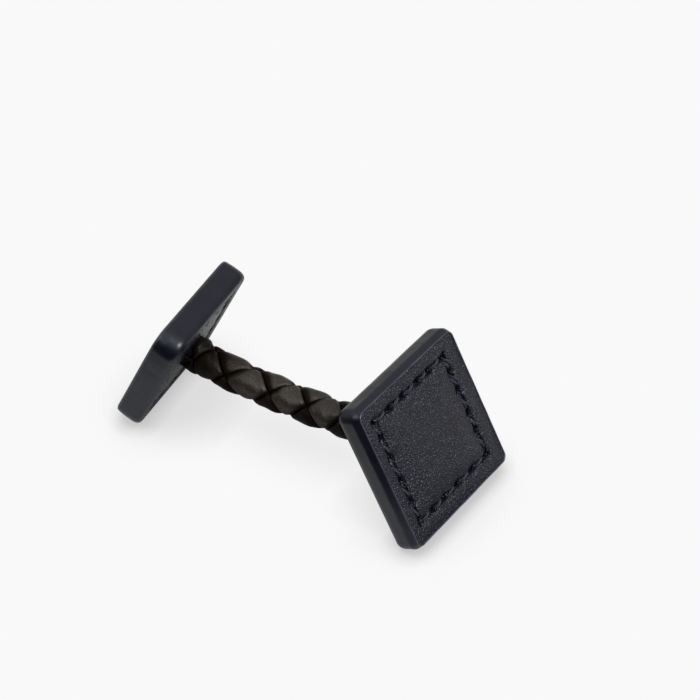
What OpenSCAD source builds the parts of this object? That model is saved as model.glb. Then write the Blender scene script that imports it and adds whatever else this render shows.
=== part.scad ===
// Leather cufflink: two stitched square heads joined by a round braid of four laces.
// It lies as it would on a table, each head standing on its lower edge.
// Millimetres, +Z up, the braid along X, the origin in the middle of the footprint.

/* [Front head] */
// Side of the front head, over its painted edge
front_side = 16; // [14:0.5:20]
// Corner radius of the front head's outline
front_corner = 1.1; // [1:0.1:3]
// Lean of the front head from upright, its face turned upwards, in degrees
front_lean = 29; // [0:1:40]
// Turn of the front head about the vertical, in degrees
front_turn = -5.5; // [-12:0.5:12]
// How far the wall of the front head's edge leans in, up to its lip
front_taper = 0.33; // [0:0.01:0.34]
// How far below the face that wall starts to lean in
front_lean_from = 0.84; // [0.6:0.02:1]
// Rounding of the front head's lip
front_lip = 0.12; // [0.08:0.01:0.14]

/* [Back head] */
// Side of the back head, over its painted edge
back_side = 14.5; // [13:0.5:18]
// Corner radius of the back head's outline
back_corner = 2; // [1:0.1:3]
// Lean of the back head from upright, its face turned upwards, in degrees
back_lean = 25; // [0:1:40]
// Turn of the back head about the vertical, in degrees
back_turn = 3.5; // [-12:0.5:12]
// How far the wall of the back head's edge leans in, up to its lip
back_taper = 0.06; // [0:0.01:0.1]
// How far below the face that wall starts to lean in
back_lean_from = 1.2; // [0.8:0.02:1.3]
// Rounding of the back head's lip
back_lip = 0.36; // [0.2:0.01:0.38]

/* [Leather] */
// Thickness of a head, from its back to the top of its painted edge
head_thick = 2.8; // [2.6:0.1:3.4]
// Thickness of the face leather at its border
face_thick = 1; // [0.8:0.05:1.2]
// Distance of the stitch line from the head's outline
seam_inset = 2.2; // [1.6:0.1:2.4]
// Depth of the sewn channel
channel_depth = 0.3; // [0.1:0.05:0.4]
// Height of the padded middle above the border of the face
pad_rise = 0.4; // [0:0.05:0.5]

/* [Painted edge] */
// Thickness of the edge paint, measured in from the outline
edge_width = 0.5; // [0.5:0.05:0.8]
// Height at which the painted edge is widest
edge_crest = 0.85; // [0.6:0.05:1.2]

/* [Braid] */
// Distance between the middles of the two heads
head_gap = 28.4; // [24:0.1:34]
// Width of the braid over its laces
braid_wide = 3.7; // [3.5:0.05:4]
// Thickness of a lace at its middle
lace_thick = 0.82; // [0.7:0.02:0.82]
// Crossings from head to head
crossings = 12; // [10:2:16]
// How far the braid keeps the direction in which it leaves a head
braid_stiff = 4.9; // [2:0.1:6]
// Turn of the whole braid about its own line, in degrees
braid_turn = -17; // [-90:1:90]
// Further turn that the braid takes on its way to the front head, in degrees
braid_twist = -54; // [-90:1:90]
// How much the first crossings, at the back head, are drawn together along the braid
braid_slip = 0.87; // [0:0.01:1]

/* [Hidden] */

// Colours, as in the photograph
leather_colour = [0.09, 0.095, 0.12];
paint_colour = [0.07, 0.085, 0.12];
lace_colour = [0.075, 0.06, 0.05];

// Clearances between pieces
fit_gap = 0.05;
hole_gap = 0.16;

// Painted edge: rounding at its foot, and steps of its outline
foot_bulge = 0.45;
foot_rise = 0.1;
lean_ease = 0.14;
wall_steps = 4;
lip_steps = 4;
corner_facets = 5;
$fn = 48;

// Face and back leather
border_drop = 0.08;
border_round = 0.25;
channel_half = 0.14;
channel_slope = 0.4;
pad_slope = 1.5;
pad_flat = 3.2;
seam_corner = 0.35;
lip_round = 0.35;
hole_round = 0.98;
back_thick = head_thick - face_thick - fit_gap;

// Braid: radii of the laces, all worked out from the braid's width and the lace
lace_edge = 0.26;
lace_gap = 0.12;
half_swell = (lace_thick - lace_edge) / 2;
middle_radius = braid_wide / 2 - 2 * half_swell - lace_edge - lace_gap / 2;
hole_wide = 2 * (middle_radius + half_swell + lace_edge + hole_gap);
// Share of the room between parallel laces that a lace takes, and how flat it is on top
lace_cover = 0.92;
lace_flatness = 4;
// Stretches of the braid over which the crossings draw together, and spread again
slip_rise = 3;
slip_from = 5.2;
slip_to = 9;
end_rings = 3;
end_depth = back_thick - fit_gap;
// Places across a lace, and along it over each crossing, where its shape is worked out.
// Laces that cross so share one grid, and stay the same distance apart.
lace_samples = [-1, -0.85, -0.5, 0, 0.5, 0.85, 1];
// Section of a lace, once round: places across it, and their side
lace_section = concat(
    [for (c = lace_samples) [c, abs(c) < 1 ? 1 : 0]],
    [for (i = [len(lace_samples) - 2:-1:1]) [lace_samples[i], -1]]
);

// Directions of a head: out of its face, and up along it
function head_normal(lean, azimuth) =
    [cos(lean) * cos(azimuth), cos(lean) * sin(azimuth), sin(lean)];
function head_up(lean, azimuth) =
    [-sin(lean) * cos(azimuth), -sin(lean) * sin(azimuth), cos(lean)];

// Share of the taper that the wall has leaned in by, at a share of the way up to the lip
function leaned(s) = (norm([s, lean_ease]) - lean_ease) / (norm([1, lean_ease]) - lean_ease);
// Outline of the painted edge in section: distance from the corner's centre, height.
// It is upright above its crest, and then leans in, up to the lip.
function edge_profile(corner, taper, lean_from, lip) = let (
        lean_start = head_thick - lean_from,
        rise = lean_from - lip
    ) concat(
        [[corner - edge_width, foot_rise]],
        [for (a = [-90:22.5:0]) [corner - foot_bulge * (1 - cos(a)), edge_crest * (1 + sin(a))]],
        [for (s = [0:wall_steps]) [
            corner - taper * leaned(s / wall_steps),
            lean_start + rise * s / wall_steps
        ]],
        [for (k = [1:lip_steps]) let (a = 90 * k / lip_steps) [
            corner - taper - lip * (1 - cos(a)),
            head_thick - lip * (1 - sin(a))
        ]],
        [[corner - edge_width, head_thick - border_drop / 2]]
    );
front_profile = edge_profile(front_corner, front_taper, front_lean_from, front_lip);
back_profile = edge_profile(back_corner, back_taper, back_lean_from, back_lip);

// How far a head reaches from its own middle along a direction
function head_reach(side, corner, profile, lean, azimuth, along) = let (
        n = head_normal(lean, azimuth),
        v = head_up(lean, azimuth),
        h = cross(v, n),
        flat = side / 2 - corner,
        tilt = norm([along * h, along * v]),
        rim = [for (p = profile) p[0] * tilt + (p[1] - head_thick / 2) * (along * n)]
    ) flat * (abs(along * h) + abs(along * v)) + max(rim);

front_azimuth = front_turn;
back_azimuth = 180 + back_turn;
function front_reach(along) =
    head_reach(front_side, front_corner, front_profile, front_lean, front_azimuth, along);
function back_reach(along) =
    head_reach(back_side, back_corner, back_profile, back_lean, back_azimuth, along);

// Middles of the heads, standing on the table, and the middle of the footprint
front_at = [head_gap / 2, 0, front_reach([0, 0, -1])];
back_at = [-head_gap / 2, 0, back_reach([0, 0, -1])];
x_high = front_at[0] + front_reach([1, 0, 0]);
x_low = back_at[0] - back_reach([-1, 0, 0]);
y_high = max(front_reach([0, 1, 0]), back_reach([0, 1, 0]));
y_low = -max(front_reach([0, -1, 0]), back_reach([0, -1, 0]));
footprint = [(x_high + x_low) / 2, (y_high + y_low) / 2, 0];

// The braid's line: from one inner face to the other, leaving each at a right angle
front_out = -head_normal(front_lean, front_azimuth);
back_out = -head_normal(back_lean, back_azimuth);
line_start = back_at + back_out * head_thick / 2;
line_end = front_at + front_out * head_thick / 2;
line_points = [
    line_start,
    line_start + back_out * braid_stiff,
    line_end + front_out * braid_stiff,
    line_end
];
line_steps = 60;

function bezier(p, s) =
    p[0] * pow(1 - s, 3) + p[1] * 3 * s * pow(1 - s, 2) + p[2] * 3 * s * s * (1 - s) + p[3] * pow(s, 3);
function bezier_slope(p, s) =
    (p[1] - p[0]) * 3 * pow(1 - s, 2) + (p[2] - p[1]) * 6 * s * (1 - s) + (p[3] - p[2]) * 3 * s * s;
function unit(v) = v / norm(v);

// Table of length along the line against the curve's own parameter
line_table = [
    for (
        i = 0, run = 0;
        i <= line_steps;
        run = run + norm(bezier(line_points, (i + 1) / line_steps) - bezier(line_points, i / line_steps)),
        i = i + 1
    ) [run, i / line_steps]
];
braid_length = line_table[line_steps][0];
pitch = 4 * braid_length / crossings;
lace_half = lace_cover * pitch / 4;

// Point and direction on the braid's line, which runs on straight into the heads
function line_at(run) =
    run < 0 ? line_start + back_out * run
    : run > braid_length ? line_end - front_out * (run - braid_length)
    : bezier(line_points, lookup(run, line_table));
function line_heading(run) =
    run <= 0 ? back_out
    : run >= braid_length ? -front_out
    : unit(bezier_slope(line_points, lookup(run, line_table)));

// A point of the braid: run along its line, angle round it, distance from it
function braid_point(run, angle, radius) = let (
        heading = line_heading(run),
        across = unit(cross([0, 0, 1], heading)),
        up = cross(heading, across),
        a = angle + braid_turn + braid_twist * run / braid_length
    ) line_at(run) + (across * cos(a) + up * sin(a)) * radius;

// Fullness of a lace across its width, or of the lace that it crosses along its length
function swell(x) = 1 - pow(min(abs(x), 1), lace_flatness);
// Place along a lace, counted from the middle of the nearest crossing where it lies on top
function from_top(phase) = abs(phase - pitch * floor(phase / pitch + 0.5));
// Rise and fall of a lace: 1 on top of a crossing, -1 below one, 0 between
function weave(q) = swell(q / lace_half) - swell((pitch / 2 - q) / lace_half);
// Side of the crossing that it is on: 1 above, -1 below, changing over between
function layer(q) = min(max((pitch / 4 - q) / (pitch / 4 - lace_half), -1), 1);

function smooth(x) = let (s = min(max(x, 0), 1)) s * s * (3 - 2 * s);
// Place along the line of a place in the even lacing
function laid_at(place) =
    place - braid_slip * (smooth(place / slip_rise) - smooth((place - slip_from) / (slip_to - slip_from)));

// One ring of a lace. way is 1 or -1, the hand in which it winds; place is where it is.
function lace_ring(way, start_angle, place) = let (
        inside = place < 0 ? -place : place > braid_length ? place - braid_length : 0,
        straight = min(inside / end_depth, 1),
        wound = min(max(place, 0), braid_length),
        q = from_top(2 * wound + way * pitch / 4),
        radius = middle_radius + half_swell * weave(q) + (lace_gap + lace_edge) / 2 * layer(q)
    ) [for (p = lace_section) braid_point(
        laid_at(place + p[0] * lace_half / 2 * (1 - straight)),
        way * (start_angle + 360 / pitch * (wound - p[0] * lace_half / 2)),
        radius + p[1] * (half_swell * swell(p[0]) + lace_edge / 2)
    )];

// Skins a stack of rings that all have the same number of points. Its quads are folded
// one way up to the point numbered split, and the other way after it.
module skin(rings, closed, split = 1000, first_way = true) {
    sides = len(rings[0]);
    last = len(rings) - 1;
    walls = [
        for (i = [0:closed ? last : last - 1], k = [0:sides - 1]) let (
            next_ring = (i + 1) % (last + 1),
            next_side = (k + 1) % sides,
            a = i * sides + k,
            b = next_ring * sides + k,
            c = next_ring * sides + next_side,
            d = i * sides + next_side
        ) each (k < split) == first_way ? [[a, b, c], [a, c, d]] : [[a, b, d], [b, c, d]]
    ];
    lids = closed ? [] : [
        [for (k = [0:sides - 1]) k],
        [for (k = [sides - 1:-1:0]) last * sides + k]
    ];
    polyhedron(points = [for (r = rings) each r], faces = concat(walls, lids), convexity = 8);
}

// A square ring with round corners
function square_ring(side, corner, height) = let (
        flat = side / 2 - corner
    ) [for (q = [0:3], k = [0:corner_facets]) let (
        a = 90 * (q + k / corner_facets)
    ) [
        flat * (q == 0 || q == 3 ? 1 : -1) + corner * cos(a),
        flat * (q < 2 ? 1 : -1) + corner * sin(a),
        height
    ]];

// Rings of one side of a leather: inset from the head's outline, height
function leather_ring(side, corner, inset, height) =
    square_ring(side - 2 * inset, max(corner - inset, seam_corner), height);

module face_leather(side, corner) {
    rim = edge_width + fit_gap;
    top = head_thick - border_drop;
    // Columns: inset, height
    rows = [
        [rim, head_thick - face_thick],
        [rim, top - border_drop],
        [rim + border_round, top],
        [seam_inset - channel_slope, top],
        [seam_inset - channel_half, top - channel_depth],
        [seam_inset + channel_half, top - channel_depth],
        [seam_inset + channel_slope, top],
        [seam_inset + pad_slope, top + pad_rise * 0.75],
        [seam_inset + pad_flat, top + pad_rise]
    ];
    color(leather_colour) skin([for (r = rows) leather_ring(side, corner, r[0], r[1])], false);
}

module back_leather(side, corner) {
    rim = edge_width + fit_gap;
    low = border_drop;
    // Columns: inset, height
    rows = [
        [seam_inset + pad_slope, low],
        [seam_inset + channel_slope, low],
        [seam_inset + channel_half, low + channel_depth],
        [seam_inset - channel_half, low + channel_depth],
        [seam_inset - channel_slope, low],
        [rim + border_round, low],
        [rim, low + border_drop],
        [rim, back_thick]
    ];
    // Columns: width, height. A ring whose corners take nearly all of its side is round.
    hole = [
        [hole_wide, back_thick],
        [hole_wide, low + lip_round],
        [hole_wide + 2 * lip_round, low]
    ];
    color(leather_colour) skin(
        concat(
            [for (r = hole) square_ring(r[0], hole_round * r[0] / 2, r[1])],
            [for (r = rows) leather_ring(side, corner, r[0], r[1])]
        ),
        true
    );
}

// The painted edge: four straight runs and four round corners of one profile
module paint(side, corner, profile) {
    flat = side / 2 - corner;
    color(paint_colour) for (q = [0:3]) rotate([0, 0, 90 * q]) translate([flat, flat, 0]) {
        rotate([90, 0, 0]) linear_extrude(2 * flat) polygon(profile);
        rotate_extrude(angle = 90) polygon(profile);
    }
}

// Stands a flat-made head on the table: middle at the place given, face turned out
module stand_head(at, lean, azimuth) {
    translate(at - footprint) rotate([0, 0, azimuth]) rotate([0, -lean, 0]) rotate([90, 0, 90])
        translate([0, 0, -head_thick / 2]) children();
}

module front_head() {
    stand_head(front_at, front_lean, front_azimuth) children();
}

module back_head() {
    stand_head(back_at, back_lean, back_azimuth) children();
}

// One lace of the braid, with straight ends that run into the holes of both heads
module braid_strand(way, start_angle) {
    places = concat(
        [for (i = [-end_rings:0]) end_depth * i / end_rings],
        [for (i = [1:crossings], c = lace_samples) pitch / 4 * (i - 0.5) + lace_half / 2 * c],
        [for (i = [0:end_rings]) braid_length + end_depth * i / end_rings]
    );
    rings = [for (place = places) lace_ring(way, start_angle, place)];
    ordered = way < 0 ? rings : [for (i = [len(rings) - 1:-1:0]) rings[i]];
    color(lace_colour) translate(-footprint) skin(ordered, false, len(lace_samples) - 1, way < 0);
}

front_head() face_leather(front_side, front_corner);  // front_face_leather
front_head() back_leather(front_side, front_corner);  // front_back_leather
front_head() paint(front_side, front_corner, front_profile);  // front_edge_paint
back_head() face_leather(back_side, back_corner);  // back_face_leather
back_head() back_leather(back_side, back_corner);  // back_back_leather
back_head() paint(back_side, back_corner, back_profile);  // back_edge_paint
braid_strand(1, 45);  // braid_strand_1
braid_strand(1, 225);  // braid_strand_2
braid_strand(-1, 45);  // braid_strand_3
braid_strand(-1, 225);  // braid_strand_4
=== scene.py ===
import math
import random
import bpy
from mathutils import Matrix, Vector, noise
from mathutils.geometry import interpolate_bezier


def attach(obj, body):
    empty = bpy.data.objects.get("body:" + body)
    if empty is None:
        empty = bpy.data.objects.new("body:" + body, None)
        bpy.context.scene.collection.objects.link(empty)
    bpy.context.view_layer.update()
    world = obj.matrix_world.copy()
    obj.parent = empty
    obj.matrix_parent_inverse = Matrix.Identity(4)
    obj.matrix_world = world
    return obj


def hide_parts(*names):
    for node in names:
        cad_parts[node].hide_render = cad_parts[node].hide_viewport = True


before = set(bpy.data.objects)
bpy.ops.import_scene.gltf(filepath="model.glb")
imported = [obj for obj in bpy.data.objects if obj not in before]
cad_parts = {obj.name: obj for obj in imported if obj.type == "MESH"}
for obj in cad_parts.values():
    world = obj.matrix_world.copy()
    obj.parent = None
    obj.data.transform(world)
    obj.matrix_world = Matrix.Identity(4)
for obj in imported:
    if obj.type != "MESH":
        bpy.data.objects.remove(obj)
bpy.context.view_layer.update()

mm = 0.001
print("frame loaded:", len(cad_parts), "CAD nodes")


# Small helpers for working as by hand
def startFresh():
    if bpy.context.object and bpy.context.object.mode != "OBJECT":
        bpy.ops.object.mode_set(mode="OBJECT")
    bpy.ops.object.select_all(action="DESELECT")


def edit():
    bpy.ops.object.mode_set(mode="EDIT")
    bpy.ops.mesh.select_all(action="SELECT")


def closeUp(piece):
    # merges seams, closes open ends and turns the faces outwards
    mergeAt = 0.001 * mm
    bpy.context.view_layer.objects.active = piece
    edit()
    bpy.ops.mesh.remove_doubles(threshold=mergeAt)
    bpy.ops.mesh.fill_holes(sides=0)
    bpy.ops.mesh.select_all(action="SELECT")
    bpy.ops.mesh.normals_make_consistent(inside=False)
    bpy.ops.object.mode_set(mode="OBJECT")


def joinAll(pieces, name):
    startFresh()
    for piece in pieces:
        piece.select_set(True)
    bpy.context.view_layer.objects.active = pieces[0]
    bpy.ops.object.join()
    joined = bpy.context.object
    joined.name = joined.data.name = name
    return joined


def shadeSmooth(piece):
    for face in piece.data.polygons:
        face.use_smooth = True


def markPoints(piece, name, values):
    # a number kept at every point of a piece, which its material reads
    kept = piece.data.attributes.new(name, "FLOAT", "POINT")
    kept.data.foreach_set("value", values)


def smoothStep(low, high, x):
    t = min(max((x - low) / (high - low), 0), 1)
    return t * t * (3 - 2 * t)


def roundSquare(x, y, half, corner):
    # distance outside a square with round corners, negative inside it
    beyondX, beyondY = abs(x) - half + corner, abs(y) - half + corner
    return math.hypot(max(beyondX, 0), max(beyondY, 0)) + min(max(beyondX, beyondY), 0) - corner


# Heads: where the frame has them. Angles in degrees, sizes in mm.
headSet = {
    "front": {
        "lean": 29.0,
        "turn": -5.5,
        "corner": 1.1,
        "taper": 0.33,  # how far the painted edge leans in, and from how far below the face
        "leanFrom": 0.84,
        "lip": 0.12,
        "seed": 11.3,
    },
    "back": {
        "lean": 25.0,
        "turn": 183.5,
        "corner": 2.0,
        "taper": 0.06,
        "leanFrom": 1.2,
        "lip": 0.36,
        "seed": 47.9,
    },
}


def placeHead(name):
    # axes of a head as it leans, and its size, measured on its painted edge
    head = headSet[name]
    lean, turn = math.radians(head["lean"]), math.radians(head["turn"])
    normal = Vector((math.cos(lean) * math.cos(turn), math.cos(lean) * math.sin(turn), math.sin(lean)))
    up = Vector((-math.sin(lean) * math.cos(turn), -math.sin(lean) * math.sin(turn), math.cos(lean)))
    axes = Matrix((up.cross(normal), up, normal)).transposed()
    points = [axes.transposed() @ v.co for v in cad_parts[name + "_edge_paint"].data.vertices]
    low = Vector([min(p[i] for p in points) for i in range(3)])
    high = Vector([max(p[i] for p in points) for i in range(3)])
    middle = (low + high) / 2
    middle.z = low.z
    head["place"] = Matrix.Translation(axes @ middle) @ axes.to_4x4()
    head["side"] = (high.x - low.x) / mm
    head["thick"] = (high.z - low.z) / mm
    head["normal"] = normal
    head["rim"] = head["taper"] + head["lip"] + leatherSet["rimGap"]


# Leather of the heads, in mm
leatherSet = {
    "cells": 210,
    "leastCorner": 0.3,
    "rimGap": 0.03,  # from the top of the painted edge's lip to the leather
    "borderDrop": 0.06,
    "rimDrop": 0.06,
    "rimRound": 0.2,
    "seamInset": 2.25,
    "seamCorner": 0.35,
    "channelDepth": 0.3,
    "channelFlat": 0.12,
    "channelHalf": 0.34,
    "padRise": 0.42,
    "padSlope": 3.4,
    "borderCrown": 0.12,
    "seamShift": {"front": (-0.37, 0.17), "back": (0.0, 0.0)},
    # needle holes of each side, as shares of it, clockwise from the upper left corner
    "holes": {
        "front": [
            [0, 0.218, 0.41, 0.628, 0.785],
            [0, 0.166, 0.349, 0.585, 0.755],
            [0, 0.219, 0.437, 0.642, 0.812],
            [0, 0.197, 0.407, 0.634, 0.834],
        ],
        "back": [
            [0, 0.21, 0.41, 0.6, 0.79],
            [0, 0.19, 0.4, 0.61, 0.8],
            [0, 0.2, 0.41, 0.59, 0.8],
            [0, 0.21, 0.39, 0.6, 0.81],
        ],
    },
    "slitLength": 0.4,
    "slitWidth": 0.15,
    "slitDepth": 0.65,
    "slitTurn": -30.0,
    "puckerReach": 0.5,
    "puckerDepth": 0.2,
    "pullReach": 1.2,  # past which a hole changes nothing
    "scallop": 0.24,  # how much further the channel reaches into the panel at the holes
    "scallopReach": (0.1, 0.85),
    "wrinkle": 0.045,  # on the lower border of the face, and its share elsewhere
    "wrinkleElsewhere": 0.35,
    "wrinkleWaves": (1.8, 0.8),  # a mm, along the border and across it
    "wrinkleFade": (0.1, 0.5),
    "sway": 0.05,  # unevenness, over these lengths, and the second one's share
    "swayLengths": (3.1, 0.9),
    "secondSway": 0.25,
    "faceThick": 1.0,
    "backThick": 1.75,
    "lipRound": 0.45,  # the leather is drawn in round the braid's hole, this far and this deep
    "lipInside": 0.1,
}

for headName in headSet:
    placeHead(headName)
    print(headName, "head: side and thickness", headSet[headName]["side"], headSet[headName]["thick"])


def seamLine(headName, isFace):
    # needle holes along the seam, clockwise from the upper left corner, with the seam's heading there
    s = leatherSet
    half = headSet[headName]["side"] / 2 - s["seamInset"]
    middle = Vector(s["seamShift"][headName])
    corners = [middle + Vector(c) * half for c in ((-1, 1), (1, 1), (1, -1), (-1, -1))]
    holes = []
    for i in range(4):
        start, end = corners[i], corners[(i + 1) % 4]
        for share in s["holes"][headName][i]:
            holes.append((start.lerp(end, share), (end - start).normalized()))
    if not isFace:
        # the same holes, seen from the inner side
        holes = [(Vector((-p.x, p.y)), Vector((d.x, -d.y))) for p, d in reversed(holes)]
    return holes


def leatherRelief(x, y, headName, isFace, holes):
    # height of the leather's outside at a place on it, in mm, against its border
    s, head = leatherSet, headSet[headName]
    half = head["side"] / 2
    shift = s["seamShift"][headName]
    inset = -roundSquare(x, y, half, head["corner"])
    seamX = x - shift[0] * (1 if isFace else -1)
    off = roundSquare(seamX, y - shift[1], half - s["seamInset"], s["seamCorner"])
    seed = head["seed"] + (0 if isFace else 5)
    near = []
    if abs(off) < s["pullReach"] + 0.1:
        near = [(Vector((x, y)) - hole, heading) for hole, heading in holes]
    nearest = min([away.length for away, heading in near], default=9)
    rim = 1 - smoothStep(head["rim"], head["rim"] + s["rimRound"], inset)
    height = -s["rimDrop"] * (1 - math.sqrt(1 - rim * rim))
    # seam channel, narrower on the panel's side between the holes
    pinch = s["scallop"] * (1 - smoothStep(*s["scallopReach"], nearest))
    across = min(off + pinch, 0) if off < 0 else off
    height -= s["channelDepth"] * (1 - smoothStep(s["channelFlat"], s["channelHalf"], abs(across)))
    if off > 0:
        width = s["seamInset"] - head["rim"]
        height += s["borderCrown"] * math.sin(math.pi * min(off / width, 1))
        weight = 1 if y < -half + s["seamInset"] and isFace else s["wrinkleElsewhere"]
        run = x if abs(y) > abs(x) else y
        close, long = s["wrinkleWaves"]
        crease = noise.noise(Vector((run * close, off * long, seed)))
        height += s["wrinkle"] * weight * crease * smoothStep(*s["wrinkleFade"], off)
    elif isFace:
        rise = 1 - min(-off / s["padSlope"], 1)
        height += s["padRise"] * (1 - rise * rise)
    # leather pulled down at the needle holes, and the slits themselves
    for away, heading in near:
        if away.length < s["pullReach"]:
            slit = heading.copy()
            slit.rotate(Matrix.Rotation(math.radians(s["slitTurn"]), 2))
            along, side = away.dot(slit), away.dot(Vector((-slit.y, slit.x)))
            height -= s["puckerDepth"] * math.exp(-((away.length / s["puckerReach"]) ** 2))
            slitShare = (along / s["slitLength"]) ** 4 + (side / s["slitWidth"]) ** 2
            height -= s["slitDepth"] * math.exp(-slitShare)
    wide, narrow = s["swayLengths"]
    height += s["sway"] * noise.noise(Vector((x / wide, y / wide, seed)))
    height += s["sway"] * s["secondSway"] * noise.noise(Vector((x / narrow, y / narrow, seed + 3)))
    return height


def putOnHead(piece, head, isFace):
    # from flat at the origin to the head's face, or turned over to its inner side
    drop = leatherSet["borderDrop"]
    turned = Matrix.Translation((0, 0, (head["thick"] - drop) * mm))
    if not isFace:
        turned = Matrix.Translation((0, 0, drop * mm)) @ Matrix.Rotation(math.pi, 4, "Y")
    piece.data.transform(head["place"] @ turned)
    shadeSmooth(piece)


def makeLeather(name, headName, isFace, holeWidth=0):
    # a fine grid with round corners, its rim drawn down to a closed block, then modelled in relief
    s, head = leatherSet, headSet[headName]
    startFresh()
    flat = head["side"] / 2 - head["rim"]
    corner = max(head["corner"] - head["rim"], s["leastCorner"])
    thick = s["faceThick"] if isFace else s["backThick"]
    bpy.ops.mesh.primitive_grid_add(x_subdivisions=s["cells"], y_subdivisions=s["cells"], size=2 * flat * mm)
    leather = bpy.context.object
    leather.name = leather.data.name = name
    for v in leather.data.vertices:
        # the corner's square is pressed into a quarter of a disc
        u, w = abs(v.co.x) / mm - flat + corner, abs(v.co.y) / mm - flat + corner
        if u > 0 and w > 0:
            squeeze = max(u, w) / math.hypot(u, w)
            v.co.x = math.copysign(flat - corner + u * squeeze, v.co.x) * mm
            v.co.y = math.copysign(flat - corner + w * squeeze, v.co.y) * mm
    edit()
    bpy.ops.mesh.region_to_loop()
    bpy.ops.mesh.extrude_region_move(TRANSFORM_OT_translate={"value": (0, 0, -thick * mm)})
    bpy.ops.mesh.edge_face_add()
    bpy.ops.mesh.select_all(action="SELECT")
    bpy.ops.mesh.normals_make_consistent(inside=False)
    bpy.ops.object.mode_set(mode="OBJECT")
    holes = seamLine(headName, isFace)
    for v in leather.data.vertices:
        if v.co.z > -thick * mm / 2:
            x, y = v.co.x / mm, v.co.y / mm
            height = leatherRelief(x, y, headName, isFace, holes)
            if holeWidth:
                beyond = math.hypot(x, y) - holeWidth / 2
                lip = 1 - smoothStep(-s["lipInside"], s["lipRound"], beyond)
                height -= s["lipRound"] * lip * lip
            v.co.z = height * mm
    if holeWidth:
        bpy.ops.mesh.primitive_cylinder_add(vertices=72, radius=holeWidth / 2 * mm, depth=4 * thick * mm)
        punch = bpy.context.object
        bpy.context.view_layer.objects.active = leather
        cut = leather.modifiers.new("hole", "BOOLEAN")
        cut.object = punch
        cut.operation = "DIFFERENCE"
        bpy.ops.object.modifier_apply(modifier=cut.name)
        bpy.data.objects.remove(punch)
    putOnHead(leather, head, isFace)
    return leather


# Painted edges, in mm. The coat is widest low down, leans in above, and ends in a lip at the face.
edgeSet = {
    "inside": 0.06,  # how far it goes in under the leather's edge
    "crest": 0.85,
    "footBulge": 0.45,
    "footSteps": 8,
    "wallSteps": 14,
    "lipSteps": 8,
    "cornerSteps": 14,
    "runSteps": 64,
    "leanEase": 0.14,  # how softly the wall begins to lean, and what makes up for it
    "leanFull": 1.15,
    "innerInset": 0.3,  # from the back and the face, where the coat ends under the leather
    "lightLipReach": 1.1,  # how far down the lip is painted lighter, as rubbed wear and a painted highlight, as a share of its height
    "unevenness": 0.03,
    "lumps": (2.6, 0.9),
    "lumpSquat": 0.6,  # below 1, they are taller than long
    "shortLumpShare": 0.4,
    "lumpFade": (0.02, 0.4),
}


def edgeSection(head):
    # closed section of the coat: distance from the corner's centre, height above the back
    s = edgeSet
    corner, thick, taper, lip = head["corner"], head["thick"], head["taper"], head["lip"]
    rise = thick - lip - s["crest"]
    leanStart = thick - head["leanFrom"]
    points = []
    for k in range(s["footSteps"] + 1):
        a = math.pi / 2 * (k / s["footSteps"] - 1)
        points.append((corner - s["footBulge"] * (1 - math.cos(a)), s["crest"] * (1 + math.sin(a))))
    for k in range(1, s["wallSteps"] + 1):
        height = s["crest"] + rise * k / s["wallSteps"]
        share = max((height - leanStart) / (thick - lip - leanStart), 0)
        leaned = s["leanFull"] * (math.hypot(share, s["leanEase"]) - s["leanEase"])
        points.append((corner - taper * leaned, height))
    for k in range(1, s["lipSteps"] + 1):
        a = math.pi / 2 * k / s["lipSteps"]
        points.append((corner - taper - lip * (1 - math.cos(a)), thick - lip * (1 - math.sin(a))))
    inner = corner - head["rim"] - s["inside"]
    points.append((inner, thick - s["innerInset"]))
    points.append((inner, thick / 2))
    points.append((inner, s["innerInset"]))
    return points


def makeEdge(name, headName):
    # one section, spun round each corner and drawn out along each side
    s, head = edgeSet, headSet[headName]
    section = edgeSection(head)
    flat = (head["side"] / 2 - head["corner"]) * mm
    startFresh()
    bpy.ops.mesh.primitive_circle_add(vertices=len(section), radius=mm)
    edge = bpy.context.object
    edge.name = edge.data.name = name
    for v, (reach, height) in zip(edge.data.vertices, section):
        v.co = (flat + reach * mm, flat, height * mm)
    edit()
    step = 2 * flat / s["runSteps"]
    for quarter in range(4):
        turn = math.radians(90 * quarter)
        centre = Matrix.Rotation(turn, 3, "Z") @ Vector((flat, flat, 0))
        bpy.ops.mesh.spin(steps=s["cornerSteps"], angle=math.radians(-90), center=centre, axis=(0, 0, 1))
        along = Matrix.Rotation(turn, 3, "Z") @ Vector((-step, 0, 0))
        for i in range(s["runSteps"]):
            bpy.ops.mesh.extrude_region_move(TRANSFORM_OT_translate={"value": along})
    bpy.ops.object.mode_set(mode="OBJECT")
    closeUp(edge)
    # the lip is painted lighter: rubbed wear and a painted highlight
    lipFrom, lipTo = head["thick"] - s["lightLipReach"] * head["lip"], head["thick"]
    markPoints(edge, "ridge", [smoothStep(lipFrom, lipTo, v.co.z / mm) for v in edge.data.vertices])
    # long lumps and short ones, which fade out towards the foot
    longLump, shortLump = s["lumps"]
    for v in edge.data.vertices:
        spot = Vector((v.co.x, v.co.y, v.co.z * s["lumpSquat"])) / mm
        lump = noise.noise(spot / longLump + Vector((0, 0, head["seed"])))
        lump += s["shortLumpShare"] * noise.noise(spot / shortLump)
        outwards = Vector((v.co.x, v.co.y, 0)).normalized()
        fade = smoothStep(*s["lumpFade"], v.co.z / mm)
        v.co += outwards * lump * s["unevenness"] * fade * mm
    edge.data.transform(head["place"])
    shadeSmooth(edge)
    return edge


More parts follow.
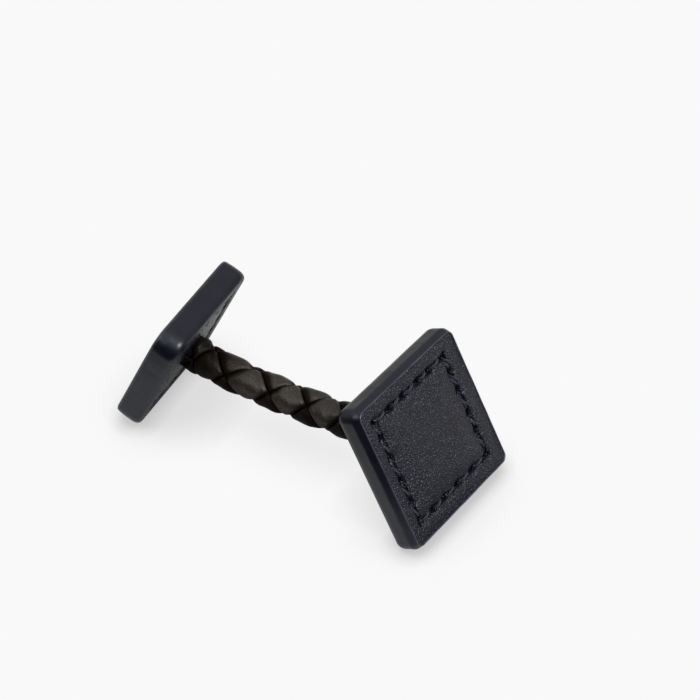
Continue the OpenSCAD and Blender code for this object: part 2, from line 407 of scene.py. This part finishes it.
# Thread: three plies twisted together, in mm
threadSet = {
    "plies": 3,
    "plySides": 7,
    "plyRadius": 0.09,
    "plyOffset": 0.08,
    "steps": 20,
    "turnsAStitch": 0.8,
    "reach": 0.54,  # share of the way between two holes that a stitch spans
    "lift": -0.04,
    "dive": 0.55,
    "bluntness": 3.2,  # of the arch between the dives
    "slant": 0.27,
    "unevenness": {"sway": 0.05, "rise": 0.03, "full": 0.06},
    "doubled": (5, 6),  # stitches of the front face that are sewn over twice
    "doubledShifts": (-0.06, 0.34),
    "doubledLift": 0.08,
}


def twistedThread():
    # a straight stretch of thread, one stitch long, along +X from the origin, length 1
    s = threadSet
    plies = []
    for k in range(s["plies"]):
        startFresh()
        a = 2 * math.pi * k / s["plies"]
        spot = (0, math.cos(a) * s["plyOffset"] * mm, math.sin(a) * s["plyOffset"] * mm)
        quarterTurn = (0, math.pi / 2, 0)
        bpy.ops.mesh.primitive_circle_add(
            vertices=s["plySides"], radius=s["plyRadius"] * mm, location=spot, rotation=quarterTurn
        )
        plies.append(bpy.context.object)
    thread = joinAll(plies, "thread")
    bpy.ops.object.transform_apply(location=True, rotation=True, scale=True)
    edit()
    for i in range(s["steps"]):
        bpy.ops.mesh.extrude_region_move(TRANSFORM_OT_translate={"value": (1 / s["steps"], 0, 0)})
        turn = 2 * math.pi * s["turnsAStitch"] / s["steps"]
        bpy.ops.transform.rotate(value=turn, orient_axis="X", center_override=((i + 1) / s["steps"], 0, 0))
    bpy.ops.object.mode_set(mode="OBJECT")
    closeUp(thread)
    return thread


def layStitch(thread, name, start, end, lift, rng):
    # a copy of the thread, bent into a low arch from start to end, which dives into both needle holes
    s = threadSet
    stitch = thread.copy()
    stitch.data = thread.data.copy()
    stitch.name = name
    bpy.context.scene.collection.objects.link(stitch)
    way = end - start
    forward = Vector((way.x, way.y, 0)).normalized()
    side = Vector((-forward.y, forward.x, 0))
    uneven = s["unevenness"]
    sway = rng.uniform(-uneven["sway"], uneven["sway"])
    rise = rng.uniform(-uneven["rise"], uneven["rise"])
    full = rng.uniform(1 - uneven["full"], 1 + uneven["full"])
    spin = rng.uniform(0, math.pi)

    def centre(t):
        arch = 1 - abs(2 * t - 1) ** s["bluntness"]
        lean = sway * math.sin(math.pi * t)
        return start + way * t + side * lean + Vector((0, 0, lift + rise - s["dive"] * (1 - arch)))

    nearby = 0.02
    for v in stitch.data.vertices:
        t = v.co.x
        heading = (centre(min(t + nearby, 1)) - centre(max(t - nearby, 0))).normalized()
        upward = side.cross(heading) * -1
        y, z = v.co.y / mm * full, v.co.z / mm * full
        y, z = y * math.cos(spin) - z * math.sin(spin), y * math.sin(spin) + z * math.cos(spin)
        v.co = (centre(t) + side * y + upward * z) * mm
    return stitch


def makeStitches(name, headName, isFace, thread):
    # one slanted stitch between each two needle holes, and a second one over two of them
    s, head = threadSet, headSet[headName]
    rng = random.Random(int(head["seed"] * 10) + (1 if isFace else 2))
    holes = [hole for hole, heading in seamLine(headName, isFace)]
    stitches = []
    for k, hole in enumerate(holes):
        nextHole = holes[(k + 1) % len(holes)]
        heading = (nextHole - hole).normalized()
        outward = Vector((-heading.y, heading.x))
        middle = (hole + nextHole) / 2
        start = middle + (hole - middle) * s["reach"] - outward * s["slant"]
        end = middle + (nextHole - middle) * s["reach"] + outward * s["slant"]
        shifts = [0]
        if isFace and headName == "front" and k in s["doubled"]:
            shifts = s["doubledShifts"]
        for j, shift in enumerate(shifts):
            a, b = start + outward * shift, end + outward * shift
            lift = s["lift"] + s["doubledLift"] * j
            stitches.append(
                layStitch(thread, "stitch", Vector((a.x, a.y, 0)), Vector((b.x, b.y, 0)), lift, rng)
            )
    seam = joinAll(stitches, name)
    putOnHead(seam, head, isFace)
    return seam


# Braid of four laces, in mm and degrees. A run is a length along the braid from the back head.
braidSet = {
    "seed": 7.1,
    "linePoints": 241,
    "stiff": 4.9,  # reach of the handles that bend its line, at each head
    "width": 3.7,
    "laceThick": 0.82,
    "laceEdge": 0.26,
    "laceGap": 0.12,
    "laceFlatness": 4.0,
    "laceSquare": 0.8,  # below 1, the section's edges are squarer
    "crossings": 12,
    "laceCover": 0.96,
    "turn": -17.0,
    "twist": -54.0,
    "slip": 0.87,  # how much the first crossings are drawn together, and where
    "slipRise": 3.0,
    "slipFrom": 5.2,
    "slipTo": 9.0,
    "sectionSides": 56,
    "ringsAPitch": 96,
    "foldDepth": 0.07,  # lengthwise folds, and how many there are across a lace
    "folds": 1.6,
    "foldWander": 3.0,
    "foldWaves": (0.45, 0.5),  # a mm, of how they wander, and of how they come and go
    "foldDeep": (0.6, 0.8),  # their mean depth and its change, as shares
    "welt": 0.05,  # how far the edges of the laces of the first way stand up
    "weltAt": 0.82,
    "weltWidth": 0.14,
    "endRings": 6,
    "endDepth": 1.7,
    "unevenness": 0.03,
    "dents": (1.3, 0.9),  # across half a lace, and a mm along it
    "flare": 0.1,  # how much wider the braid is at the back head, as a share, and up to where
    "flareReach": 3.0,
    "endShade": 0.88,  # share of painted shade where the laces leave the back head, and where it ends
    "endShadeReach": (2.5, 7.5),
    "underShade": 0.92,  # share of painted shade on the laces of the second way, on their near underside
    "underside": (0.0, -0.7, -0.7),
    # per lace, the rise below which a lace is fully darkened by painted shade, down in a crossing, and above
    # which it has none
    "laces": [
        {"way": 1, "start": 45.0, "blunt": 5.5, "shadeRise": (0.5, 0.95)},
        {"way": 1, "start": 225.0, "blunt": 5.5, "shadeRise": (0.5, 0.95)},
        {"way": -1, "start": 45.0, "blunt": 4.0, "shadeRise": (0.7, 0.995)},
        {"way": -1, "start": 225.0, "blunt": 4.0, "shadeRise": (0.7, 0.995)},
    ],
}


def braidLine():
    # from the middle of one inner face to the other, leaving each at a right angle
    s = braidSet
    ends = [headSet["back"]["place"].translation / mm, headSet["front"]["place"].translation / mm]
    outs = [-headSet["back"]["normal"], -headSet["front"]["normal"]]
    handles = [end + out * s["stiff"] for end, out in zip(ends, outs)]
    points = interpolate_bezier(ends[0], handles[0], handles[1], ends[1], s["linePoints"])
    runs = [0]
    for a, b in zip(points, points[1:]):
        runs.append(runs[-1] + (b - a).length)
    return {"points": points, "runs": runs, "outs": outs, "length": runs[-1]}


def alongBraid(line, run):
    # point and heading at a length along the braid, which goes on straight into the heads
    points, runs = line["points"], line["runs"]
    if run <= 0:
        return points[0] + line["outs"][0] * run, line["outs"][0]
    if run >= line["length"]:
        return points[-1] - line["outs"][1] * (run - line["length"]), -line["outs"][1]
    k = min(int(run / line["length"] * (len(points) - 1)), len(points) - 2)
    while runs[k + 1] < run:
        k += 1
    while runs[k] > run:
        k -= 1
    t = (run - runs[k]) / (runs[k + 1] - runs[k])
    heading = (points[min(k + 2, len(points) - 1)] - points[max(k - 1, 0)]).normalized()
    return points[k].lerp(points[k + 1], t), heading


def swell(x, power):
    # 1 in the middle and 0 at both edges; a higher power makes it blunter
    return 1 - min(abs(x), 1) ** power


def laidAt(place):
    # length along the braid of a place in an even lacing
    s = braidSet
    drawn = smoothStep(0, s["slipRise"], place) - smoothStep(s["slipFrom"], s["slipTo"], place)
    return place - s["slip"] * drawn


def makeLace(name, line, lace, seed):
    # a grid, section by run, wrapped round the braid's line; it rises and dives at every crossing
    s = braidSet
    halfSwell = (s["laceThick"] - s["laceEdge"]) / 2
    middleRadius = s["width"] / 2 - 2 * halfSwell - s["laceEdge"] - s["laceGap"] / 2
    pitch = 4 * line["length"] / s["crossings"]
    laceHalf = s["laceCover"] * pitch / 4
    ringCount = round(s["ringsAPitch"] * line["length"] / pitch)
    runs = [-s["endDepth"] * (1 - i / s["endRings"]) for i in range(s["endRings"])]
    runs += [line["length"] * i / ringCount for i in range(ringCount + 1)]
    runs += [line["length"] + s["endDepth"] * (i + 1) / s["endRings"] for i in range(s["endRings"])]
    startFresh()
    sides = s["sectionSides"]
    bpy.ops.mesh.primitive_grid_add(x_subdivisions=sides, y_subdivisions=len(runs) - 1, size=1)
    strand = bpy.context.object
    strand.name = strand.data.name = name
    way = lace["way"]

    def lacePoint(u, run):
        # u goes once round the section, from one edge over the outside to the other and back inside;
        # gives the place, and how much painted shade there is
        a = 2 * math.pi * u
        across = -math.cos(a)
        across = math.copysign(abs(across) ** s["laceSquare"], across)
        outside = math.copysign(1, math.sin(a)) if abs(math.sin(a)) > 1e-6 else 0
        inside = -run if run < 0 else max(run - line["length"], 0)
        straight = min(inside / s["endDepth"], 1)
        wound = min(max(run, 0), line["length"])
        phase = 2 * wound + way * pitch / 4
        fromTop = abs(phase - pitch * math.floor(phase / pitch + 0.5))
        weave = swell(fromTop / laceHalf, lace["blunt"])
        weave -= swell((pitch / 2 - fromTop) / laceHalf, lace["blunt"])
        layer = min(max((pitch / 4 - fromTop) / (pitch / 4 - laceHalf), -1), 1)
        radius = middleRadius + halfSwell * weave + (s["laceGap"] + s["laceEdge"]) / 2 * layer
        placeRun = laidAt(run + across * laceHalf / 2 * (1 - straight))
        angle = s["turn"] + s["twist"] * placeRun / line["length"]
        angle = math.radians(angle + way * (lace["start"] + 360 / pitch * (wound - across * laceHalf / 2)))
        edgeRound = s["laceEdge"] / 2 * min(abs(math.sin(a)) * 4, 1)
        full = halfSwell * swell(across, s["laceFlatness"]) + edgeRound
        dentsAcross, dentsAlong = s["dents"]
        dent = noise.noise(Vector((across * dentsAcross, run * dentsAlong, seed))) - 0.5
        radius += outside * full + outside * s["unevenness"] * dent * swell(across, 2)
        if outside > 0:
            # the folds wander a little, and come and go along the lace
            wanders, fades = s["foldWaves"]
            mean, change = s["foldDeep"]
            wander = s["foldWander"] * noise.noise(Vector((run * wanders, seed, 2)))
            deep = mean + change * noise.noise(Vector((run * fades, across, seed + 4)))
            wave = math.cos(math.pi * s["folds"] * across + wander)
            radius += s["foldDepth"] * deep * wave * (1 - across ** 4)
            if way > 0:
                radius += s["welt"] * math.exp(-(((abs(across) - s["weltAt"]) / s["weltWidth"]) ** 2))
        flare = s["flare"] * (1 - smoothStep(0, s["flareReach"], max(run, 0)))
        centre, heading = alongBraid(line, placeRun)
        side = Vector((0, 0, 1)).cross(heading).normalized()
        up = heading.cross(side)
        outwards = side * math.cos(angle) + up * math.sin(angle)
        # painted shade: darker down in the crossings, near the back head and on the near underside of the
        # second way's laces
        clear = smoothStep(*lace["shadeRise"], weave)
        clear *= 1 - s["endShade"] * (1 - smoothStep(*s["endShadeReach"], placeRun))
        if way < 0:
            clear *= 1 - s["underShade"] * smoothStep(0, 0.5, outwards.dot(Vector(s["underside"])))
        return (centre + outwards * radius * (1 + flare)) * mm, 1 - clear

    paintedShade = []
    for v in strand.data.vertices:
        u = v.co.x + 0.5
        run = runs[round((v.co.y + 0.5) * (len(runs) - 1))]
        v.co, shadeHere = lacePoint(u, run)
        paintedShade.append(shadeHere)
    markPoints(strand, "paintedShade", paintedShade)
    closeUp(strand)
    shadeSmooth(strand)
    return strand


# Small helpers for shader nodes
def feed(tree, value, entry):
    # a number or a tuple is set as it is, and a socket is joined
    if isinstance(value, (int, float, tuple)):
        entry.default_value = value
    else:
        tree.links.new(value, entry)


def mathNode(tree, operation, *values):
    made = tree.nodes.new("ShaderNodeMath")
    made.operation = operation
    for entry, value in zip(made.inputs, values):
        feed(tree, value, entry)
    return made.outputs[0]


def mapRange(tree, value, fromLow, fromHigh, toLow=0.0, toHigh=1.0):
    made = tree.nodes.new("ShaderNodeMapRange")
    limits = {"Value": value, "From Min": fromLow, "From Max": fromHigh, "To Min": toLow, "To Max": toHigh}
    for name, limit in limits.items():
        feed(tree, limit, made.inputs[name])
    return made.outputs["Result"]


def splitNode(tree, place):
    made = tree.nodes.new("ShaderNodeSeparateXYZ")
    feed(tree, place, made.inputs["Vector"])
    return made.outputs


def stretchNode(tree, place, scale):
    made = tree.nodes.new("ShaderNodeMapping")
    feed(tree, place, made.inputs["Vector"])
    feed(tree, scale, made.inputs["Scale"])
    return made.outputs["Vector"]


def noiseNode(tree, place, scale, detail=2, result="Fac"):
    made = tree.nodes.new("ShaderNodeTexNoise")
    feed(tree, place, made.inputs["Vector"])
    feed(tree, scale, made.inputs["Scale"])
    feed(tree, detail, made.inputs["Detail"])
    return made.outputs[result]


def colourRamp(tree, value, finish):
    # from the finish's dark colour to its light one, over its spread
    made = tree.nodes.new("ShaderNodeValToRGB")
    feed(tree, value, made.inputs["Fac"])
    for element, position, name in zip(made.color_ramp.elements, finish["spread"], ("dark", "light")):
        element.position = position
        element.color = (*finish[name], 1)
    return made.outputs["Color"]


def mixColours(tree, share, first, second):
    # from the first to the second as the share rises; each is a plain colour or a socket
    made = tree.nodes.new("ShaderNodeMix")
    made.data_type = "RGBA"
    feed(tree, share, made.inputs["Factor"])
    for entry, colour in ((made.inputs[6], first), (made.inputs[7], second)):
        feed(tree, (*colour, 1) if isinstance(colour, tuple) else colour, entry)
    return made.outputs[2]


def bumpNode(tree, height, distance, below=None):
    made = tree.nodes.new("ShaderNodeBump")
    feed(tree, height, made.inputs["Height"])
    feed(tree, distance, made.inputs["Distance"])
    if below is not None:
        feed(tree, below, made.inputs["Normal"])
    return made.outputs["Normal"]


def readMark(tree, name):
    mark = tree.nodes.new("ShaderNodeAttribute")
    mark.attribute_name = name
    return mark.outputs["Fac"]


# Shared shader effects. A scale is roughly a count of pebbles, pores or patches a metre.
grainSet = {
    "warp": 0.0002,  # how far the pebbles are bent out of place, in metres
    "warpScale": 2600.0,
    "dome": (0.65, 0.05),  # from a pebble's rim to its top, as shares of its width
    "poreHeight": 0.4,  # against the height of a pebble
    "swellHeight": 1.4,
    "swellScale": 2100.0,
    "wearAndHighlightScale": 900.0,
}


def newGroup(name, numbers, results):
    # takes a place and some numbers, and gives values that change over the surface
    group = bpy.data.node_groups.new(name, "ShaderNodeTree")
    group.interface.new_socket(name="Place", in_out="INPUT", socket_type="NodeSocketVector")
    for number in numbers:
        group.interface.new_socket(name=number, in_out="INPUT", socket_type="NodeSocketFloat")
    for result in results:
        group.interface.new_socket(name=result, in_out="OUTPUT", socket_type="NodeSocketFloat")
    return group, group.nodes.new("NodeGroupInput").outputs, group.nodes.new("NodeGroupOutput").inputs


def leatherGrainGroup():
    # rounded pebbles with creases between them, soft swells under them and fine pores over them; a mask for
    # painted shade in the creases
    s = grainSet
    tree, entry, leave = newGroup("leatherGrain", ("Pebble Scale", "Pore Scale"), ("Height", "Crease Shade"))
    bend = tree.nodes.new("ShaderNodeVectorMath")
    bend.operation = "MULTIPLY_ADD"
    feed(tree, noiseNode(tree, entry["Place"], s["warpScale"], result="Color"), bend.inputs[0])
    feed(tree, (s["warp"], s["warp"], s["warp"]), bend.inputs[1])
    feed(tree, entry["Place"], bend.inputs[2])
    pebbles = tree.nodes.new("ShaderNodeTexVoronoi")
    feed(tree, bend.outputs[0], pebbles.inputs["Vector"])
    feed(tree, entry["Pebble Scale"], pebbles.inputs["Scale"])
    domed = mapRange(tree, pebbles.outputs["Distance"], *s["dome"])
    domed.node.interpolation_type = "SMOOTHSTEP"
    pores = noiseNode(tree, entry["Place"], entry["Pore Scale"])
    swells = noiseNode(tree, entry["Place"], s["swellScale"])
    height = mathNode(tree, "MULTIPLY_ADD", pores, s["poreHeight"], domed)
    feed(tree, mathNode(tree, "MULTIPLY_ADD", swells, s["swellHeight"], height), leave["Height"])
    feed(tree, domed, leave["Crease Shade"])
    return tree


def edgeWearAndHighlightGroup():
    # lighter ridges, partly wear and partly a painted highlight, stronger in some places than in others,
    # read from the surface's own bends
    tree, entry, leave = newGroup("edgeWearAndHighlight", ("Low", "High"), ("Ridge",))
    bends = tree.nodes.new("ShaderNodeNewGeometry").outputs["Pointiness"]
    patches = noiseNode(tree, entry["Place"], grainSet["wearAndHighlightScale"], 4)
    ridge = mapRange(tree, bends, entry["Low"], entry["High"])
    feed(tree, mathNode(tree, "MULTIPLY", ridge, patches), leave["Ridge"])
    return tree


grainGroup = leatherGrainGroup()
wearAndHighlightGroup = edgeWearAndHighlightGroup()


def useGroup(tree, group, place, values):
    made = tree.nodes.new("ShaderNodeGroup")
    made.node_tree = group
    for name, value in {"Place": place, **values}.items():
        feed(tree, value, made.inputs[name])
    return made.outputs


def placeNode(tree, kind):
    return tree.nodes.new("ShaderNodeTexCoord").outputs[kind]


def newMaterial(name, roughness, specular):
    material = bpy.data.materials.new(name)
    material.use_nodes = True
    tree = material.node_tree
    shader = tree.nodes["Principled BSDF"].inputs
    shader["Roughness"].default_value = roughness
    shader["Specular IOR Level"].default_value = specular
    return material, tree, shader


# Finishes. Colours are linear, depths in metres, roughness from the smoothest places to the dullest.
# The spread is where the patches of dye turn from dark to light.
leatherFinish = {
    # crease colour: painted shade in the grain's creases
    "crease": (0.002, 0.0022, 0.0042),
    "dark": (0.0038, 0.005, 0.023),
    "light": (0.0068, 0.0088, 0.042),
    "spread": (0.3, 0.75),
    "cloudScale": 420.0,
    # sharp bends painted lighter: wear and a painted highlight
    "ridge": (0.026, 0.029, 0.046),
    "ridgeBends": (0.52, 0.6),  # how sharp a bend has to be to show some lighter wear and painted highlight, and to show most
    "roughness": (0.33, 0.54),
    "specular": 0.44,
    "pebbleScale": 4300.0,
    "poreScale": 12500.0,
    "grainDepth": 0.00007,
    "creaseScale": (72.0, 7.0, 1.0),
    "creaseBand": (0.13, 0.09),  # where they end and where they are full, as shares of the way up
    "creaseDepth": 0.00004,
}


def leatherMaterial():
    s = leatherFinish
    material, tree, shader = newMaterial("navyLeather", 0.5, s["specular"])
    solid, unrolled = placeNode(tree, "Object"), placeNode(tree, "UV")
    scales = {"Pebble Scale": s["pebbleScale"], "Pore Scale": s["poreScale"]}
    grain = useGroup(tree, grainGroup, solid, scales)
    # short creases across the border at the lower edge
    lines = noiseNode(tree, stretchNode(tree, unrolled, s["creaseScale"]), 1)
    band = mapRange(tree, splitNode(tree, unrolled)["Y"], *s["creaseBand"])
    across = bumpNode(tree, mathNode(tree, "MULTIPLY", lines, band), s["creaseDepth"])
    clouds = noiseNode(tree, solid, s["cloudScale"], 3)
    dye = colourRamp(tree, clouds, s)
    # the grain's creases darkened: painted shade
    creaseShaded = mixColours(tree, grain["Crease Shade"], s["crease"], dye)
    # sharp bends painted lighter, as wear and a painted highlight
    wearAndHighlight = useGroup(tree, wearAndHighlightGroup, solid, dict(zip(("Low", "High"), s["ridgeBends"])))
    feed(tree, mixColours(tree, wearAndHighlight["Ridge"], creaseShaded, s["ridge"]), shader["Base Color"])
    smooth, dull = s["roughness"]
    feed(tree, mapRange(tree, grain["Height"], 0, 1, dull, smooth), shader["Roughness"])
    feed(tree, bumpNode(tree, grain["Height"], s["grainDepth"], across), shader["Normal"])
    return material


paintFinish = {
    "dark": (0.0014, 0.002, 0.005),
    "light": (0.0028, 0.0038, 0.0085),
    "spread": (0.3, 0.7),
    "cloudScale": 600.0,
    # the lip's lighter colour: rubbed wear and a painted highlight
    "ridge": (0.056, 0.06, 0.08),
    "patches": (0.35, 0.65),  # of the clouds, where the lip's wear and painted highlight are least and most
    "patchLeast": 0.5,
    "roughness": (0.24, 0.4),
    "specular": 0.47,
    "sheen": (0.86, 0.9, 1.0),  # tint of what it mirrors
    "rippleDepth": 0.00005,
    "grainScale": 9000.0,
    "grainDepth": 0.000004,
}


def paintMaterial():
    s = paintFinish
    material, tree, shader = newMaterial("edgePaint", 0.36, s["specular"])
    solid = placeNode(tree, "Object")
    feed(tree, (*s["sheen"], 1), shader["Specular Tint"])
    clouds = noiseNode(tree, solid, s["cloudScale"], 4)
    coat = colourRamp(tree, clouds, s)
    # the lip at the face is painted lighter, as rubbed wear and a painted highlight, more in some places
    # than in others
    patches = mapRange(tree, clouds, *s["patches"], s["patchLeast"], 1)
    lip = mathNode(tree, "MULTIPLY", readMark(tree, "ridge"), patches)
    feed(tree, mixColours(tree, lip, coat, s["ridge"]), shader["Base Color"])
    feed(tree, mapRange(tree, clouds, 0, 1, *s["roughness"]), shader["Roughness"])
    ripple = bumpNode(tree, clouds, s["rippleDepth"])
    grain = noiseNode(tree, solid, s["grainScale"])
    feed(tree, bumpNode(tree, grain, s["grainDepth"], ripple), shader["Normal"])
    return material


laceFinish = {
    # crease colour: painted shade in the grain's creases
    "crease": (0.015, 0.0108, 0.0068),
    "dark": (0.013, 0.0092, 0.0058),
    "light": (0.058, 0.0425, 0.0275),
    "spread": (0.35, 0.7),
    # colour of the painted shade
    "paintedShade": (0.006, 0.0044, 0.0031),
    "roughness": (0.32, 0.46),
    "specular": (0.42, 0.035),  # where a lace is unshaded, and where it is fully in painted shade
    "wrinkleScale": (24.0, 22.0, 1.0),
    "wrinkleDepth": 0.00007,
    "pebbleScale": 5200.0,
    "poreScale": 17000.0,
    "grainDepth": 0.000007,
}


def laceMaterial():
    s = laceFinish
    material, tree, shader = newMaterial("laceLeather", 0.4, s["specular"][0])
    solid, unrolled = placeNode(tree, "Object"), placeNode(tree, "UV")
    # painted shade: the mark darkens the colour and weakens the highlight
    paintedShade = readMark(tree, "paintedShade")
    feed(tree, mapRange(tree, paintedShade, 0, 1, *s["specular"]), shader["Specular IOR Level"])
    # streaks and fine wrinkles that run along each lace
    wrinkles = noiseNode(tree, stretchNode(tree, unrolled, s["wrinkleScale"]), 1, 4)
    scales = {"Pebble Scale": s["pebbleScale"], "Pore Scale": s["poreScale"]}
    grain = useGroup(tree, grainGroup, solid, scales)
    dye = colourRamp(tree, wrinkles, s)
    # the grain's creases darkened: painted shade
    creaseShaded = mixColours(tree, grain["Crease Shade"], s["crease"], dye)
    feed(tree, mixColours(tree, paintedShade, creaseShaded, s["paintedShade"]), shader["Base Color"])
    feed(tree, mapRange(tree, wrinkles, 0, 1, *s["roughness"]), shader["Roughness"])
    folds = bumpNode(tree, wrinkles, s["wrinkleDepth"])
    feed(tree, bumpNode(tree, grain["Height"], s["grainDepth"], folds), shader["Normal"])
    return material


threadFinish = {
    "dark": (0.005, 0.0048, 0.0095),
    "light": (0.044, 0.041, 0.066),
    "spread": (0.3, 0.7),
    "roughness": 0.58,
    "specular": 0.42,
    "fibreScale": 14000.0,
    "fibreDepth": 0.00001,
}


def threadMaterial():
    s = threadFinish
    material, tree, shader = newMaterial("navyThread", s["roughness"], s["specular"])
    fibres = noiseNode(tree, placeNode(tree, "Object"), s["fibreScale"], 3)
    feed(tree, colourRamp(tree, fibres, s), shader["Base Color"])
    feed(tree, bumpNode(tree, fibres, s["fibreDepth"]), shader["Normal"])
    return material


leatherLook = leatherMaterial()
paintLook = paintMaterial()
laceLook = laceMaterial()
threadLook = threadMaterial()
print("materials ready")


def finishPiece(piece, look, stands=None):
    piece.data.materials.clear()
    piece.data.materials.append(look)
    if stands:
        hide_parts(stands)
    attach(piece, "root")
    print("made", piece.name, len(piece.data.polygons), "faces")


# Heads
braidHole = 3.3
thread = twistedThread()
for headName in headSet:
    face = makeLeather(headName + "_face", headName, True)
    finishPiece(face, leatherLook, headName + "_face_leather")
    inner = makeLeather(headName + "_inner_face", headName, False, braidHole)
    finishPiece(inner, leatherLook, headName + "_back_leather")
    edge = makeEdge(headName + "_edge", headName)
    finishPiece(edge, paintLook, headName + "_edge_paint")
    finishPiece(makeStitches(headName + "_face_stitches", headName, True, thread), threadLook)
    finishPiece(makeStitches(headName + "_inner_stitches", headName, False, thread), threadLook)
bpy.data.objects.remove(thread)

# Braid
line = braidLine()
print("braid length", round(line["length"], 2), "mm")
for k, lace in enumerate(braidSet["laces"], 1):
    strand = makeLace("lace_" + str(k), line, lace, braidSet["seed"] * k)
    finishPiece(strand, laceLook, "braid_strand_" + str(k))

# Floor, light and camera. Lengths in metres.
stageSet = {
    "floorSize": 6.0,
    "floorSeen": 0.947,
    "shadow": 0.72,  # brightness of the tight shadow, and how open to the room it and bare floor are
    "shadowOpen": (0.3, 1.0),
    "shadowReach": 0.002,
    "shade": 0.76,  # the same for a wide soft shade round the piece, as a share
    "shadeOpen": (0.45, 0.9),
    "shadeReach": 0.0085,
    "floorMirrored": 0.7,
    "under": 0.36,  # painted shade on the floor under the piece, as the piece mirrors it: share left, up to and from these distances
    "underReach": (0.005, 0.009),
    "dim": 0.06,  # brightness of the floor on the near side, beyond and up to these places
    "dimReach": (-0.024, -0.017),
    "horizon": (0.36, 0.33),  # brightness to the left and to the right
    "upwards": 0.5,  # its change from there straight up
    "least": 0.08,
    "nearSide": (0.06, 1.0),  # share of it left, from the near side to the middle
    "nearReach": (-0.95, -0.4),
    "farSide": (1.25, 0.8),  # and from the middle to the far side
    "farReach": (-0.2, 1.0),
    "keyFrom": (0.82, -0.16, 0.87),
    "keySize": 0.35,
    "keyPower": 10.0,
    "cardFrom": (-0.18, -0.79, 0.88),
    "cardSize": 0.55,
    "cardPower": 2.4,
}


def areaLight(name):
    # turned towards the piece
    s = stageSet
    data = bpy.data.lights.new(name, "AREA")
    data.size = s[name + "Size"]
    data.energy = s[name + "Power"]
    lamp = bpy.data.objects.new(name, data)
    bpy.context.scene.collection.objects.link(lamp)
    lamp.location = s[name + "From"]
    lamp.rotation_euler = (-Vector(s[name + "From"])).to_track_quat("-Z", "Y").to_euler()


def shadeNode(tree, reach, opens, dark, light):
    # from dark to light as a place on the floor opens to the room
    made = tree.nodes.new("ShaderNodeAmbientOcclusion")
    feed(tree, reach, made.inputs["Distance"])
    return mapRange(tree, made.outputs["AO"], *opens, dark, light)


def floorMaterial():
    # evenly white to the camera, but for a tight shadow and a wide soft one; the piece mirrors it dimmer
    s = stageSet
    material, tree = newMaterial("paleFloor", 0.9, 0.1)[:2]
    shadow = shadeNode(tree, s["shadowReach"], s["shadowOpen"], s["shadow"], s["floorSeen"])
    shade = shadeNode(tree, s["shadeReach"], s["shadeOpen"], s["shade"], 1)
    y = splitNode(tree, placeNode(tree, "Object"))["Y"]
    under = mapRange(tree, mathNode(tree, "ABSOLUTE", y), *s["underReach"], s["under"], 1)
    dim = mapRange(tree, y, *s["dimReach"], s["dim"], s["floorMirrored"])
    either = tree.nodes.new("ShaderNodeMix")
    ray = tree.nodes.new("ShaderNodeLightPath")
    feed(tree, ray.outputs["Is Camera Ray"], either.inputs["Factor"])
    feed(tree, mathNode(tree, "MULTIPLY", under, dim), either.inputs["A"])
    feed(tree, mathNode(tree, "MULTIPLY", shadow, shade), either.inputs["B"])
    glow = tree.nodes.new("ShaderNodeEmission")
    feed(tree, either.outputs["Result"], glow.inputs["Strength"])
    feed(tree, glow.outputs["Emission"], tree.nodes["Material Output"].inputs["Surface"])
    return material


def makeWorld():
    # a white room: brighter above, dimmer towards the far side and dark on the near side
    s = stageSet
    world = bpy.data.worlds.new("studio")
    bpy.context.scene.world = world
    world.use_nodes = True
    tree = world.node_tree
    way = splitNode(tree, placeNode(tree, "Generated"))
    horizon = mapRange(tree, way["X"], -1, 1, *s["horizon"])
    level = mathNode(tree, "MULTIPLY_ADD", way["Z"], s["upwards"], horizon)
    level = mathNode(tree, "MAXIMUM", level, s["least"])
    for side in ("near", "far"):
        share = mapRange(tree, way["Y"], *s[side + "Reach"], *s[side + "Side"])
        level = mathNode(tree, "MULTIPLY", level, share)
    background = tree.nodes["Background"].inputs
    feed(tree, level, background["Strength"])
    feed(tree, (1, 1, 1, 1), background["Color"])


def makeStage():
    startFresh()
    bpy.ops.mesh.primitive_plane_add(size=stageSet["floorSize"])
    floor = bpy.context.object
    floor.name = "floor"
    floor.data.materials.append(floorMaterial())
    makeWorld()
    areaLight("key")
    areaLight("card")
    bpy.context.scene.view_settings.view_transform = "Standard"


# Camera: a long lens, from the near right above. Lengths in mm, angles in degrees.
cameraSet = {
    "aside": -2.75,
    "away": 14.44,
    "distance": 235.3,
    "azimuth": 30.55,
    "elevation": 41.86,
    "lens": 114.0,
}


def makeCamera():
    s = cameraSet
    thick = headSet["front"]["thick"] / 2
    ends = [headSet[n]["place"] @ Vector((0, 0, thick * mm)) for n in headSet]
    between = (ends[0] + ends[1]) / 2
    target = Vector((between.x + s["aside"] * mm, between.y + s["away"] * mm, 0))
    a, e = math.radians(s["azimuth"]), math.radians(s["elevation"])
    back = Vector((math.sin(a) * math.cos(e), -math.cos(a) * math.cos(e), math.sin(e)))
    data = bpy.data.cameras.new("camera")
    data.lens = s["lens"]
    data.sensor_width = 36
    data.clip_start = 0.01
    data.clip_end = 20
    camera = bpy.data.objects.new("camera", data)
    bpy.context.scene.collection.objects.link(camera)
    camera.location = target + back * s["distance"] * mm
    camera.rotation_euler = (-back).to_track_quat("-Z", "Y").to_euler()
    bpy.context.scene.camera = camera


makeStage()
makeCamera()
